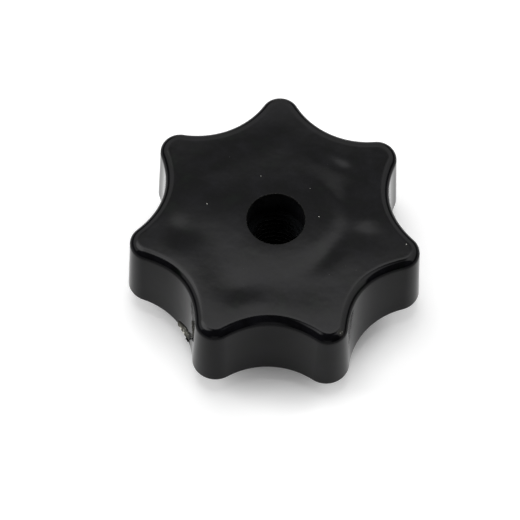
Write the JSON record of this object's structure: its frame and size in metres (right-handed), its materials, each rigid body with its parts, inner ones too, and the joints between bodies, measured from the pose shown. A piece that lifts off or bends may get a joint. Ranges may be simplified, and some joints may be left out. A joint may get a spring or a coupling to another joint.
{
  "type": "star knob nut",
  "caption": "Star-shaped hand nut: a black moulded grip on a round hub, with a threaded steel bush moulded in and a plain bore above it, tightened by hand on a stud.",
  "frame": {"origin": "middle of the hub's seat face, on the thread's axis", "axes": "+Z along the thread's axis from the seat face towards the grip's top face; one lobe points along +Y"},
  "size_m": [0.0528, 0.0517, 0.02],
  "materials": {
    "moulded_grip": "black phenolic moulding, satin gloss",
    "blackened_steel": "turned steel, blackened"
  },
  "bodies": {
    "root": {"knob_body": "moulded_grip", "threaded_insert": "blackened_steel"}
  },
  "joints": []
}
